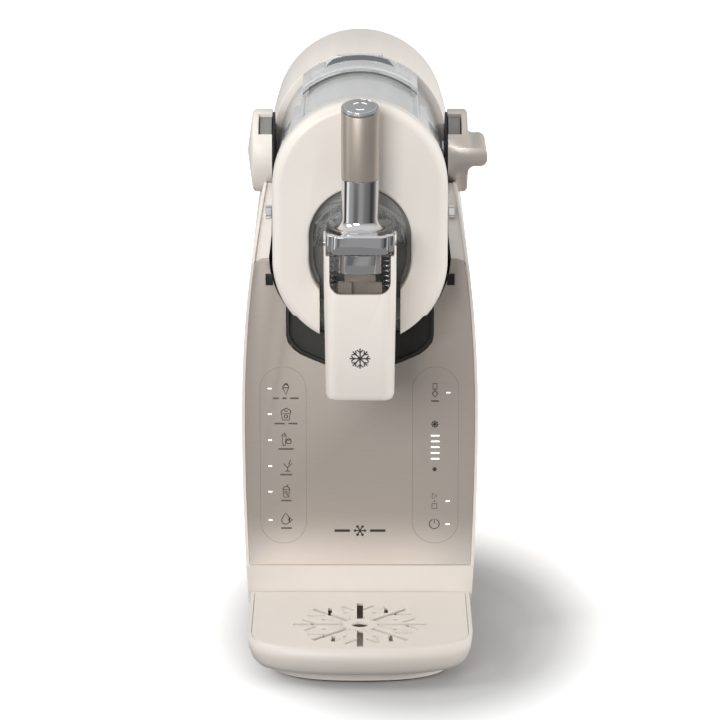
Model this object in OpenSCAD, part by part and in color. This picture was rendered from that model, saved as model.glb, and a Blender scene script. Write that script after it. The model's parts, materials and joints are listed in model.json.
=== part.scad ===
// Soft-serve and slush ice cream maker with a clear front-loading vessel, in millimetres.
// +Z is up, the front faces -Y, and the origin is on the floor under the middle of the base.

/* [Body] */
// Widest half width of the body
body_half_w = 95.4; // [90:0.2:100]
// Front plane of the tower
front_y = -44; // [-50:1:-40]
// Rear plane of the tower
rear_y = 206; // [196:1:210]
// Height of the base deck, where the panel starts
deck_z = 58; // [54:1:62]
// Wall of the moulded covers
wall = 2.6; // [2:0.2:3.2]

/* [Vessel] */
// Outer radius of the clear vessel
vessel_r = 65.5; // [64:0.5:66]
// Height of the upper centre of the vessel's section
upper_z = 386; // [380:1:390]
// Height of the lower centre, which is the auger's axis
lower_z = 327; // [322:1:330]
// Front of the vessel's front wall
vessel_front_y = -92; // [-94:1:-90]
// Rear end of the vessel
vessel_rear_y = 84; // [80:1:85]
// Wall of the vessel
vessel_wall = 2.8; // [2.4:0.2:3.4]

/* [Front cap] */
// Outer radius of the bezel
bezel_r = 68.5; // [68:0.5:69]
// Front plane of the bezel
bezel_y = -108; // [-110:1:-106]
// Radius of the bezel's window
window_r = 40; // [38:1:42]

/* [Tap] */
// Distance of the spout's axis from the origin
spout_y = -127; // [-129:1:-126]
// Half width of the spout cover
cover_half_w = 28.1; // [27:0.1:29]
// Underside of the spout cover
cover_z = 227; // [225:1:234]
// Radius of the grip
grip_r = 14.6; // [14:0.2:15]

/* [Drip tray] */
// Height of the tray's rim
tray_z = 36; // [34:1:38]
// Half width of the tray
tray_half_w = 89.2; // [86:0.2:90]
// Front end of the tray
tray_front_y = -188; // [-192:1:-184]

/* [Hidden] */
$fn = 64;

cream = "#e9e1d9";
taupe = "#aaa198";
champagne = "#b5aaa0";
dark = "#45433d";
steel = "#c4c6c8";

body_z = 171;            // height at which the body is widest
housing_r = 71;          // top of the rear housing
housing_y = 87;          // front rim of the rear housing
housing_edge = 5;        // radius of its rear edge
shoulder_z = 344;        // seam between the side covers and the rear housing
knob_y = 38;             // axis of the side cap and the lock knob
knob_r = 33.7;
knob_in = 70.9;          // inner face of the knobs
bar_x = 102.6;           // end of the lock knob's bar
liner_half_w = 69;       // inside of the cavity
liner_t = 1.6;
cavity_z = 323;          // centre of the cavity's round bottom
pivot_y = -146;          // axis of the handle
pivot_z = 352;
stem_r = 14.4;
grip_top_z = 452.2;      // middle of the slanted seat of the grip's cap
grip_slope = 14;
drive_pin_z = 330;       // pin that lifts the plunger
trim_slope = 47.8;       // rise of the arms' front edges
collar_z = 326;          // underside of the guide collar
cover_front_y = -154;
cover_top_z = 358.6;
tray_back_y = -46.8;
plinth_half_w = 70;
plinth_front_y = -165;
plinth_rear_y = rear_y - 13;
fan_z = 108;             // axis of the fan
gear_y = 95;             // front of the gearbox
gear_module = 1.5;
gear_teeth = 36;
pinion_teeth = 12;
gear_gap = gear_module * (gear_teeth + pinion_teeth) / 2;

// ---- outlines ----

// Half width of the body at height z, from the floor up to the rear housing
function half_w(z) = z < body_z
    ? body_half_w - 4.5 * pow((body_z - z) / 143, 2)
    : body_half_w - 24.8 * pow((z - body_z) / 227, 2.2);

// Half of a superellipse nose, from the right side round the front to the left side
function nose(hw, len, y, power = 2.5, n = 28) = [
    for (i = [0:n]) let (a = 180 * i / n)
        [hw * sign(cos(a)) * pow(abs(cos(a)), 2 / power), y - len * pow(sin(a), 2 / power)]
];

// Points of an arc about (cx, cy), from angle a0 to a1
function arc(r, cx, cy, a0, a1, n = 8) = [
    for (i = [0:n]) let (a = a0 + (a1 - a0) * i / n)
        [cx + r * cos(a), cy + r * sin(a)]
];

// Plan of a base: round nose at the front, rounded corners at the back
function base_plan(hw, y_front, y_rear, nose_len, rear_r) = concat(
    nose(hw, nose_len, y_front + nose_len),
    arc(rear_r, -hw + rear_r, y_rear - rear_r, 180, 90),
    arc(rear_r, hw - rear_r, y_rear - rear_r, 90, 0)
);

// Plan of the drip tray, moved in by d
module tray_plan(d) {
    polygon(concat(
        nose(tray_half_w - d, 45 - d, tray_front_y + 45),
        arc(3, -tray_half_w + d + 3, tray_back_y - d - 3, 180, 90, 3),
        arc(3, tray_half_w - d - 3, tray_back_y - d - 3, 90, 0, 3)
    ));
}

// Front view of the body between two heights, moved in by d
module body_front(z0, z1, d = 0, n = 30) {
    steps = [for (i = [0:n]) z0 + (z1 - z0) * i / n];
    polygon(concat(
        [for (z = steps) [half_w(z) - d, z]],
        [for (i = [n:-1:0]) [-half_w(steps[i]) + d, steps[i]]]
    ));
}

// Upright stadium in front view
module stadium(r, z_low, z_high) {
    polygon(concat(arc(r, 0, z_high, 0, 180, 40), arc(r, 0, z_low, 180, 360, 40)));
}

// Sweeps a section (radius, forward distance) round an upright stadium
module stadium_sweep(z_low, z_high) {
    translate([0, 0, z_high]) rotate([90, 0, 0]) rotate_extrude(angle = 180) children();
    translate([0, 0, z_low]) rotate([90, 180, 0]) rotate_extrude(angle = 180) children();
    both_sides() translate([0, 0, z_low]) linear_extrude(z_high - z_low) mirror([0, 1]) children();
}

// ---- placing ----

// Extrudes a front view (X, Z) from y0 to y1
module along_y(y0, y1) {
    translate([0, y1, 0]) rotate([90, 0, 0]) linear_extrude(y1 - y0) children();
}

// Extrudes a side view (Y, Z) from x0 to x1
module along_x(x0, x1) {
    translate([x0, 0, 0]) rotate([90, 0, 90]) linear_extrude(x1 - x0) children();
}

module rod_y(r, y0, y1, x = 0, z = 0) {
    translate([x, y1, z]) rotate([90, 0, 0]) cylinder(h = y1 - y0, r = r);
}

module rod_x(r, x0, x1, y, z) {
    translate([x0, y, z]) rotate([0, 90, 0]) cylinder(h = x1 - x0, r = r);
}

module box(x0, x1, y0, y1, z0, z1) {
    translate([x0, y0, z0]) cube([x1 - x0, y1 - y0, z1 - z0]);
}

module both_sides() {
    children();
    mirror([1, 0, 0]) children();
}

// ---- base and drip tray ----

module foot_ring() {
    color("#2c2b29") difference() {
        linear_extrude(2)
            polygon(base_plan(plinth_half_w - 3, plinth_front_y + 3, plinth_rear_y - 3, 42, 22));
        translate([0, 0, -1]) linear_extrude(4)
            polygon(base_plan(plinth_half_w - 13, plinth_front_y + 13, plinth_rear_y - 13, 34, 16));
    }
    // bridge across the middle
    color("#2c2b29") box(13 - plinth_half_w, plinth_half_w - 13, -10, 10, 0, 2);
}

// Front view of the tower's foot, undercut down to the plinth
module foot_front(d = 0) {
    side = [
        [plinth_half_w + 2, 8], [83, 12], [88.2, 19],
        for (z = [28, 42, deck_z]) [half_w(z), z]
    ];
    polygon(concat(
        [for (p = side) [p[0] - d, max(p[1], 8 + d)]],
        [for (i = [len(side) - 1:-1:0]) [-side[i][0] + d, max(side[i][1], 8 + d)]]
    ));
}

module base_pan() {
    color(cream) {
        difference() {
            union() {
                translate([0, 0, 2]) linear_extrude(6.5)
                    polygon(base_plan(plinth_half_w, plinth_front_y, plinth_rear_y, 44, 24));
                intersection() {
                    along_y(front_y - 1.8, rear_y) foot_front();
                    translate([0, 0, 1]) linear_extrude(80)
                        polygon(base_plan(96, front_y - 60, rear_y, 55, 26));
                }
            }
            intersection() {
                along_y(front_y + 4, rear_y - wall) difference() {
                    foot_front(wall);
                    translate([-100, 0]) square([200, 11]);
                }
                translate([0, 0, 1]) linear_extrude(80)
                    polygon(base_plan(93.4, front_y - 60, rear_y - wall, 55, 24));
            }
            box(-90, 90, front_y + 4, rear_y - wall, deck_z - 0.1, deck_z + 5);
        }
        // rails that guide the tray
        both_sides() box(40, 43, -150, -60, 8, 10.2);
    }
}

module drip_tray() {
    levels = [[10.6, 13], [12.4, 8.5], [17, 4.2], [25, 1.2], [tray_z, 0]];
    color(cream) difference() {
        hull() for (l = levels) translate([0, 0, l[0] - 0.2]) linear_extrude(0.2) tray_plan(l[1]);
        hull() {
            for (l = [levels[1], levels[2], levels[3]]) translate([0, 0, l[0] + 2.6]) linear_extrude(0.2)
                tray_plan(l[1] + 2.6);
            translate([0, 0, tray_z - 2.9]) linear_extrude(0.2) tray_plan(5);
        }
        translate([0, 0, tray_z - 3]) linear_extrude(4) grate_plan(0);
    }
}

// Outline of the grate, moved in by d
module grate_plan(d) {
    polygon(concat(
        nose(tray_half_w - 3.2 - d, 43 - d, tray_front_y + 44.2),
        [[-tray_half_w + 3.2 + d, tray_back_y - 3.2 - d], [tray_half_w - 3.2 - d, tray_back_y - 3.2 - d]]
    ));
}

// Drain slots in the form of an eight-armed snowflake
module snow_slots() {
    circle(r = 7);
    for (a = [0:45:315]) rotate(a) {
        translate([13.5, -2.5]) square([40, 5]);
        for (s = [-1, 1]) translate([35, s * 3.6]) rotate(s * 42) square([14, 3.2], center = false);
    }
    for (a = [22.5:45:360]) rotate(a) translate([30.5, 0]) circle(r = 2.2);
}

module drip_grate() {
    color(cream) difference() {
        translate([0, 0, tray_z - 2.8]) linear_extrude(2.8) grate_plan(0.35);
        translate([0, spout_y, tray_z - 4]) linear_extrude(8) snow_slots();
    }
}

// ---- tower ----

// Side view of a side cover: tower, ear and arm, with a saddle for the knob
module side_profile(d = 0) {
    difference() {
        polygon(concat(
            [[front_y + d, deck_z]],
            [[front_y + d, 310]],
            arc(8, front_y + 8 + d, 310, 180, 135, 4),
            [[-8, 352 - d], [4, 366]],
            [[69, 366], [72, shoulder_z - d], [rear_y - d, shoulder_z - d], [rear_y - d, deck_z]]
        ));
        translate([knob_y, upper_z]) circle(r = knob_r + 0.8 + d);
    }
}

// One side cover, on the +X side
module side_cover() {
    difference() {
        intersection() {
            along_y(front_y, rear_y) body_front(deck_z, 370);
            along_x(0, 100) side_profile();
            linear_extrude(400) polygon(base_plan(96, front_y - 60, rear_y, 55, 26));
        }
        intersection() {
            along_y(front_y - 1, rear_y + 1) body_front(deck_z - 4, 374, wall);
            linear_extrude(400) polygon(base_plan(93.4, front_y - 60, rear_y - wall, 55, 24));
        }
        box(-100, 0.01, -200, 200, 0, 400);
        // opening for the rear cover
        box(-60, 60, rear_y - 10, rear_y + 5, deck_z - 5, 400);
    }
}

module side_cover_right() { color(cream) side_cover(); }

module side_cover_left() { color(cream) mirror([1, 0, 0]) side_cover(); }

module rear_cover() {
    color(cream) difference() {
        box(-59.7, 59.7, rear_y - wall, rear_y, deck_z + 0.3, shoulder_z - 0.3);
        for (z = [70:9:168]) box(-44, 44, rear_y - 5, rear_y + 1, z, z + 4);
        for (z = [262:9:318]) box(-34, 34, rear_y - 5, rear_y + 1, z, z + 4);
        rod_y(8.2, rear_y - 6, rear_y + 2, 38, 210);
    }
}

// Front view of the panel, with round ears either side of the cavity
module panel_front() {
    ear_top = 314.8;
    n = 22;
    side = [for (i = [0:n]) let (z = deck_z + 0.4 + (300 - deck_z) * i / n) [half_w(z) - wall - 0.2, z]];
    ear = arc(9, half_w(300) - wall - 9.4, ear_top - 9, 10, 90, 6);
    difference() {
        polygon(concat(
            side, ear, [[60, ear_top], [-60, ear_top]],
            [for (i = [len(ear) - 1:-1:0]) [-ear[i][0], ear[i][1]]],
            [for (i = [n:-1:0]) [-side[i][0], side[i][1]]]
        ));
        translate([0, 318]) circle(r = 72.6);
        recess_front(0);
    }
}

// Front view of the recess under the cavity
module recess_front(d) {
    hw = 59.2 - d;
    polygon(concat(
        [[hw, 300], [-hw, 300]],
        [[-hw, 252], [-hw + 1.2, 246 + d], [-hw + 5.5, 240.4 + d]],
        [for (x = [-48:6:48]) [x * hw / 59.2, 220.5 + d + 15.5 * pow(abs(x) / 48, 1.5)]],
        [[hw - 5.5, 240.4 + d], [hw - 1.2, 246 + d], [hw, 252]]
    ));
}

module front_panel() {
    color(taupe) along_y(front_y, front_y + 3) panel_front();
}

module recess_plate() {
    color(dark) difference() {
        along_y(front_y + 0.4, front_y + 7) difference() {
            recess_front(0.3);
            translate([0, 318]) circle(r = 71.4);
        }
        along_y(front_y - 1, front_y + 4.5) recess_front(2.4);
    }
}

// Side view of the liner's cheeks
module liner_profile() {
    rim = housing_y - 0.3;
    back = housing_y + 2.4;
    polygon([
        [front_y + 3.4, 236], [front_y + 3.4, 308], [-4, 350], [6, 372], [66, 372], [70, 398],
        [rim, 398], [rim, shoulder_z - 0.3], [back, shoulder_z - 0.3], [back, 236]
    ]);
    translate([knob_y, upper_z]) circle(r = 31);
}

module cavity_liner() {
    color("#1b1b1a") difference() {
        intersection() {
            along_y(front_y + 3.4, housing_y + 2.4) stadium(liner_half_w + liner_t, cavity_z, 430);
            along_x(-80, 80) liner_profile();
        }
        along_y(front_y, housing_y) stadium(liner_half_w, cavity_z, 440);
        rod_y(36.6, 70, 100, 0, lower_z);
        rod_x(6.05, -90, 90, knob_y, upper_z);
    }
}

// Inner strip that closes the front edge of an arm, on the +X side; it slants outwards below the catch
module arm_trim() {
    x = liner_half_w + liner_t + 0.2;
    y = front_y + 3.4;
    rise = tan(trim_slope);
    difference() {
        intersection() {
            along_x(0, 100) polygon([
                [y, 296], [y, 313], [7, 313 + (7 - y) * rise], [10, 362], [6, 345], [-6, 330], [-20, 296]
            ]);
            along_y(y - 1, 20) difference() {
                body_front(290, 370, wall + 0.15);
                polygon([[-100, 400], [x, 400], [x, 330], [x + 3.8, 300], [x + 3.8, 280], [-100, 280]]);
            }
        }
        at_catch() translate([-2, -6, -5.7]) cube([8, 6.1, 11.4]);
    }
}

module arm_trims() { color(cream) both_sides() arm_trim(); }

// Middle of the catch on the +X arm, with Z up the arm's front edge
module at_catch() {
    y = -11.6;
    translate([71.4, y, 313 + (y - front_y - 3.4) * tan(trim_slope)])
        rotate([trim_slope - 90, 0, 0]) children();
}

module side_catches() {
    color(steel) both_sides() at_catch() {
        translate([0, -3.4, -5.5]) cube([4.6, 3.4, 11]);
        for (z = [-4.6, 3]) translate([0, -4.4, z]) cube([4.6, 1.4, 1.6]);
    }
}

module panel_bumpers() {
    color("black") both_sides() box(69.5, 75.5, front_y - 1.6, front_y - 0.02, 293.4, 302.6);
}

// Light windows of the touch panel
module status_lights() {
    y0 = front_y - 0.35;
    y1 = front_y - 0.02;
    color("white") {
        for (z = [207.4, 186, 164.2, 142.3, 120.6, 96.5]) box(-74.2, -71.2, y0, y1, z - 0.4, z + 0.4);
        for (z = [204, 112.6, 93]) box(69.6, 72.8, y0, y1, z - 0.4, z + 0.4);
        for (i = [0:4]) box(57.4, 64.2, y0, y1, 167.5 - 4.85 * i, 168.4 - 4.85 * i);
    }
}

// Front view of the rear housing, moved in by d: a round top on the body's flared sides
module housing_front(d) {
    top = asin((398 - upper_z) / housing_r);
    steps = [for (i = [0:8]) shoulder_z + 0.3 + (396 - shoulder_z) * i / 8];
    polygon(concat(
        [for (z = steps) [half_w(z) - d, z]],
        arc(housing_r - d, 0, upper_z, top, 180 - top, 40),
        [for (i = [8:-1:0]) [-half_w(steps[i]) + d, steps[i]]]
    ));
}

module rear_housing() {
    color(cream) difference() {
        hull() {
            along_y(housing_y, rear_y - housing_edge) housing_front(0);
            for (a = [15:15:90]) let (y = rear_y - housing_edge * (1 - sin(a))) along_y(y - 0.1, y)
                housing_front(housing_edge * (1 - cos(a)));
        }
        along_y(housing_y + wall, rear_y - 3.2) housing_front(3);
        rod_y(37, housing_y - 1, housing_y + 5, 0, lower_z);
        box(-58, 58, housing_y + wall, rear_y - 3.2, shoulder_z - 5, shoulder_z + 6);
    }
}

// ---- side cap and lock knob ----

// Ring sector, in side view, of the window in a knob's rim
module rim_window(r) {
    polygon(concat([[0, 0]], arc(r + 4, 0, 0, 108, 146, 6)));
}

// Body of a knob on +X: a cup open towards the vessel
module knob_body(outer_x, dome) {
    difference() {
        union() {
            rod_x(knob_r, knob_in, outer_x - 3, knob_y, upper_z);
            translate([outer_x - 3, knob_y, upper_z]) rotate([0, 90, 0])
                rotate_extrude() polygon([
                    [0, 0], [knob_r, 0], [knob_r - 0.6, 1.6], [knob_r - 2.4, 3], [0, 3 + dome]
                ]);
        }
        rod_x(knob_r - 3, knob_in - 1, outer_x - 6, knob_y, upper_z);
        translate([0, knob_y, upper_z]) along_x(knob_in - 1, knob_in + 11) rim_window(knob_r);
    }
}

module knob_insert() {
    difference() {
        rod_x(knob_r - 3.1, knob_in + 0.4, knob_in + 10, knob_y, upper_z);
        rod_x(knob_r - 6, knob_in - 1, knob_in + 12, knob_y, upper_z);
    }
}

module side_cap() { color(cream) mirror([1, 0, 0]) knob_body(87.2, 4.2); }

module side_cap_insert() { color("#8d8d8c") mirror([1, 0, 0]) knob_insert(); }

module lock_knob() {
    color(champagne) {
        difference() {
            union() {
                knob_body(87, 0);
                intersection() {
                    rod_x(knob_r, 80.2, bar_x, knob_y, upper_z);
                    along_y(knob_y - 40, knob_y + 40) translate([0, upper_z + 1]) polygon(concat(
                        [[81.5, -15], [87, -15]], arc(6, 93, -13.2, 180, 90, 8),
                        arc(6.2, bar_x - 6.2, -1.2, 270, 360, 8), arc(6.2, bar_x - 6.2, 1.2, 0, 90, 8),
                        arc(6, 93, 13.2, 270, 180, 8), [[87, 15], [81.5, 15]]
                    ));
                }
            }
            rod_x(5.6, 70, 90, knob_y, upper_z);
        }
    }
}

module lock_knob_insert() { color("#8d8d8c") knob_insert(); }

module lock_shaft() {
    color(steel) {
        rod_x(5.6, 68.6, 90, knob_y, upper_z);
        // cam that presses on the vessel's side
        rod_x(7.4, 66.6, 68.7, knob_y + 0.8, upper_z);
    }
}

// ---- vessel ----

module vessel() {
    color([0.85, 0.87, 0.88, 0.35]) difference() {
        union() {
            along_y(vessel_front_y, vessel_rear_y) stadium(vessel_r, lower_z, upper_z);
            // filler neck
            intersection() {
                along_y(16, 81) stadium(vessel_r + 2.2, lower_z, upper_z);
                box(-46.5, 46.5, 16, 81, 400, 470);
            }
            // rails from the neck forward to the bezel
            intersection() {
                along_y(-85.5, 17) stadium(vessel_r + 1.7, lower_z, upper_z);
                both_sides() box(44.4, 46.4, -85.5, 17, 400, 470);
            }
            // knuckles either side of the lid's front edge
            intersection() {
                along_y(8.4, 14.2) stadium(vessel_r + 4.6, lower_z, upper_z);
                both_sides() box(41, 46.4, 8.4, 14.2, 400, 470);
            }
            // ears of the lid's hinge
            both_sides() box(15.4, 18.8, 79.6, 83.9, 440, 456.9);
        }
        along_y(vessel_front_y + 3, vessel_rear_y + 5) stadium(vessel_r - vessel_wall, lower_z, upper_z);
        box(-42, 42, 20, 77, 400, 480);
        rod_y(12, vessel_front_y - 5, vessel_front_y + 5, 0, 283);
        box(-15.4, 15.4, 76, 90, 451.6, 480);
        rod_x(1.22, -20, 20, 81.4, upper_z + vessel_r + 3.4);
    }
}

module vessel_gasket() {
    color("#6b6b69") along_y(vessel_rear_y + 0.05, housing_y - 0.05) difference() {
        stadium(vessel_r - 0.3, lower_z, upper_z);
        stadium(vessel_r - 4, lower_z, upper_z);
    }
}

// Front view of the bezel's window and the slot that takes the spout
module bezel_opening() {
    stadium(window_r, lower_z + 2.6, 346.8);
    translate([-31.7, 240]) square([63.4, 80]);
}

module front_bezel() {
    front = -bezel_y;
    back = -vessel_front_y - 6;
    color(cream) difference() {
        stadium_sweep(lower_z, upper_z) polygon(concat(
            [[0, back], [bezel_r, back]], arc(8, bezel_r - 8, front - 8, 0, 90, 8), [[0, front]]
        ));
        along_y(bezel_y + 3, vessel_front_y - 0.2) difference() {
            stadium(bezel_r - 4, lower_z, upper_z);
            stadium(window_r + 3, lower_z + 2.6, 346.8);
            translate([-34.7, 240]) square([69.4, 80]);
        }
        along_y(vessel_front_y - 0.3, vessel_front_y + 7) stadium(vessel_r + 0.1, lower_z, upper_z);
        stadium_sweep(lower_z + 2.6, 346.8) polygon(concat(
            [[0, front + 1], [window_r + 2, front + 1]],
            arc(2, window_r + 2, front - 2, 90, 180, 4), [[window_r, back - 1], [0, back - 1]]
        ));
        along_y(bezel_y - 1, vessel_front_y + 8) translate([-31.7, 240]) square([63.4, 80]);
        // relief that steps the lower edge in
        along_y(bezel_y - 1, vessel_front_y + 8) difference() {
            translate([-80, 240]) square([160, 43.5]);
            stadium(bezel_r - 2.4, lower_z, upper_z);
        }
    }
}

module bezel_seal() {
    color("#3b3a34") along_y(vessel_front_y - 2.6, vessel_front_y - 0.02) difference() {
        stadium(window_r - 0.1, lower_z + 2.6, 346.8);
        stadium(window_r - 3.4, lower_z + 2.6, 346.8);
        translate([-31.7, 240]) square([63.4, 80]);
    }
}

// ---- lid ----

// Curved shell over the filler neck between two radii
module lid_arc(r0, r1, hw, y0, y1) {
    intersection() {
        along_y(y0, y1) difference() {
            circle_at(r1);
            circle_at(r0);
        }
        box(-hw, hw, y0, y1, upper_z + 20, upper_z + 80);
    }
}

module circle_at(r) { translate([0, upper_z]) circle(r = r); }

module fill_lid() {
    color([0.85, 0.87, 0.88, 0.45]) difference() {
        union() {
            lid_arc(vessel_r + 4, vessel_r + 6.6, 46.5, 15, 78);
            // skirt that drops into the neck
            difference() {
                lid_arc(vessel_r - 3, vessel_r + 4.5, 41.2, 24, 75);
                lid_arc(vessel_r - 4, vessel_r + 3.99, 39, 26.2, 72.8);
            }
            rod_x(2.8, -15, 15, 81.4, upper_z + vessel_r + 3.4);
            box(-15, 15, 76, 81.4, upper_z + vessel_r + 1.2, upper_z + vessel_r + 4.9);
        }
        both_sides() box(15, 19.2, 76.2, 90, 440, 470);
        // grip pocket
        lid_arc(vessel_r + 5.4, vessel_r + 12, 29, 50, 76);
        rod_x(1.25, -20, 20, 81.4, upper_z + vessel_r + 3.4);
    }
}

module lid_gasket() {
    color("#55565a") difference() {
        lid_arc(vessel_r + 2.3, vessel_r + 3.95, 46, 15.6, 75.6);
        lid_arc(vessel_r, vessel_r + 6, 41.8, 20, 75.61);
    }
}

module lid_hinge_pin() {
    color(steel) rod_x(1.2, -18.6, 18.6, 81.4, upper_z + vessel_r + 3.4);
}

// ---- tap ----

module valve_body() {
    color([0.8, 0.81, 0.8, 0.6]) difference() {
        union() {
            translate([0, spout_y, 240]) cylinder(h = 72, r = 17);
            rod_y(15.5, spout_y, vessel_front_y - 0.05, 0, 283);
            // shelf under the handle, with two guide posts and the block under the collar
            box(-25.2, 25.2, spout_y - 19, spout_y + 14, 308, 312);
            both_sides() box(6.5, 17, spout_y - 21, spout_y - 16.5, 308, 321);
            box(-12, 12, spout_y - 16.6, spout_y - 14, 308, collar_z);
        }
        translate([0, spout_y, 230]) cylinder(h = 100, r = 13.5);
        rod_y(12, spout_y + 1, vessel_front_y + 1, 0, 283);
    }
}

// Chrome guard in front of the plunger's head
module guide_collar() {
    color(steel) translate([0, 0, collar_z]) linear_extrude(15) difference() {
        polygon(nose(16.6, 9, spout_y - 7.9));
        polygon(nose(13.9, 6.3, spout_y - 7.8));
    }
}

// Front view of the cheeks and the hand cut-out
module cover_cut() {
    hw = 23.7;
    r = 9.5;
    polygon(concat(
        [[-hw, 400]], arc(r, r - hw, 322, 180, 270), arc(r, hw - r, 322, 270, 360), [[hw, 400]]
    ));
}

// Plan of the spout cover, moved in by d, from the front back to back_y
module cover_plan(d, back_y = -98) {
    hw = cover_half_w - d;
    r = 10 - d;
    polygon(concat(
        arc(r, hw - r, cover_front_y + d + r, 0, -90, 6),
        arc(r, r - hw, cover_front_y + d + r, 270, 180, 6),
        [[-hw, back_y], [hw, back_y]]
    ));
}

module spout_cover() {
    color(cream) difference() {
        union() {
            translate([0, 0, cover_z + 5]) linear_extrude(cover_top_z - cover_z - 5) cover_plan(0);
            hull() {
                translate([0, 0, cover_z + 5]) linear_extrude(0.2) cover_plan(0);
                translate([0, 0, cover_z + 1.4]) linear_extrude(0.2) cover_plan(1.4);
                translate([0, 0, cover_z]) linear_extrude(0.2) cover_plan(3.6);
            }
        }
        translate([0, 0, cover_z + 3]) linear_extrude(150) cover_plan(2.5, -90);
        translate([0, spout_y, cover_z - 2]) cylinder(h = 10, r = 17.4);
        along_y(-170, spout_y - 4) cover_cut();
        // cheeks end under the yoke; the arms go on up to the pivot
        box(-26.5, 26.5, -160, -90, 342.5, 400);
        box(-30, 30, -160, -149.6, 344, 400);
        box(-30, 30, -134, -90, 320, 400);
        rod_x(2.55, -40, 40, pivot_y, pivot_z);
    }
}

// Tip with a star-shaped mouth
module nozzle() {
    color("#d9d7d2") difference() {
        translate([0, spout_y, cover_z - 0.6]) cylinder(h = 11.5, r = 17);
        translate([0, spout_y, cover_z + 3]) cylinder(h = 20, r = 13.5);
        translate([0, spout_y, cover_z - 2]) linear_extrude(8)
            polygon([for (i = [0:15]) let (r = i % 2 ? 6 : 11.5, a = 22.5 * i) [r * cos(a), r * sin(a)]]);
    }
}

// Printed snowflake, standing just proud of the cover
module snowflake_badge() {
    color("#33312e") translate([0, -154.02, 262]) rotate([90, 0, 0]) linear_extrude(0.3) {
        for (a = [0:45:315]) rotate(a) {
            translate([0, -0.45]) square([8, 0.9]);
            for (s = [-1, 1]) translate([4.6, 0]) rotate(s * 45) translate([0, -0.4]) square([3.2, 0.8]);
        }
        circle(r = 1.2);
    }
}

module pivot_pin() {
    color(steel) rod_x(2.5, -cover_half_w + 0.1, cover_half_w - 0.1, pivot_y, pivot_z);
}

// Rectangle in plan with rounded front and rear corners
module yoke_plan(hw, y_front, y_rear, r_front, r_rear) {
    polygon(concat(
        arc(r_front, hw - r_front, y_front + r_front, 0, -90),
        arc(r_front, -hw + r_front, y_front + r_front, 270, 180),
        arc(r_rear, -hw + r_rear, y_rear - r_rear, 180, 90),
        arc(r_rear, hw - r_rear, y_rear - r_rear, 90, 0)
    ));
}

// Yoke plate with a thicker middle that stands forward, and two cheeks that hold the drive pin
module handle_yoke() {
    color(steel) difference() {
        union() {
            translate([0, 0, 346.2]) linear_extrude(12.4) yoke_plan(26.2, -152, -98, 4, 7);
            translate([0, 0, 345]) linear_extrude(13.6) yoke_plan(21.8, -158, -110, 6.5, 5);
            hull() {
                translate([0, 0, 358.5]) linear_extrude(0.1) yoke_plan(26.2, -152, -98, 4, 7);
                translate([0, 0, 359.9]) linear_extrude(0.1) yoke_plan(24.8, -150.6, -99.4, 3, 6);
            }
            hull() {
                translate([0, 0, 358.5]) linear_extrude(0.1) yoke_plan(21.8, -158, -110, 6.5, 5);
                translate([0, 0, 359.9]) linear_extrude(0.1) yoke_plan(20.4, -156.6, -111, 5.5, 5);
            }
            both_sides() along_x(7.1, 10) polygon(concat(
                [[spout_y + 5, 346], [spout_y - 5, 346]], arc(5, spout_y, drive_pin_z, 180, 360)
            ));
        }
        box(-7, 7, -137, -111, 320, 354);
        rod_x(2.56, -30, 30, pivot_y, pivot_z);
    }
    color(steel) rod_x(2, -9, 9, spout_y, drive_pin_z);
}

module handle_stem() {
    flare = 7.6;
    spigot = 38.2;
    color(steel) translate([0, spout_y, 360]) rotate_extrude() polygon(concat(
        [[0, 0.05], [stem_r + flare, 0.05]],
        arc(flare, stem_r + flare, flare + 0.3, 270, 180, 12),
        [[stem_r, spigot], [12.6, spigot], [12.6, spigot + 4], [0, spigot + 4]]
    ));
}

// Slanted slab over the grip's seat, from d0 to d1 above it
module grip_slab(d0, d1) {
    translate([0, 0, grip_top_z]) rotate([grip_slope, 0, 0])
        translate([-30, -30, d0]) cube([60, 60, d1 - d0]);
}

module handle_grip() {
    color(champagne) translate([0, spout_y, 0]) difference() {
        translate([0, 0, 398.2]) rotate_extrude() polygon([
            [0, 4.1], [12.7, 4.1], [12.7, 0.1], [grip_r - 0.4, 0.1], [grip_r, 0.6], [grip_r, 62], [0, 62]
        ]);
        grip_slab(0, 40);
    }
}

module handle_cap() {
    color("#9c9b99") translate([0, spout_y, 0]) {
        intersection() {
            cylinder(h = 480, r = grip_r - 0.1);
            grip_slab(0.05, 2.25);
        }
        intersection() {
            cylinder(h = 480, r = grip_r - 1.3);
            grip_slab(2.15, 2.95);
        }
    }
}

module plunger() {
    color("#dcdad4") {
        difference() {
            translate([0, spout_y, 270]) cylinder(h = 35, r = 13.3);
            for (z = [276, 298]) translate([0, spout_y, z]) difference() {
                cylinder(h = 2.4, r = 15);
                translate([0, 0, -1]) cylinder(h = 5, r = 11.8);
            }
        }
        translate([0, spout_y, 304]) cylinder(h = 19, r = 5);
        difference() {
            box(-6, 6, -133, -110.5, 322, 337);
            box(-8, 8, -130.6, -113, drive_pin_z - 3.6, drive_pin_z + 3.6);
        }
    }
}

module plunger_seals() {
    color("#2b2b2a") for (z = [276, 298]) translate([0, spout_y, z + 0.05]) difference() {
        cylinder(h = 2.3, r = 13.42);
        translate([0, 0, -1]) cylinder(h = 5, r = 11.85);
    }
}

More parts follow.
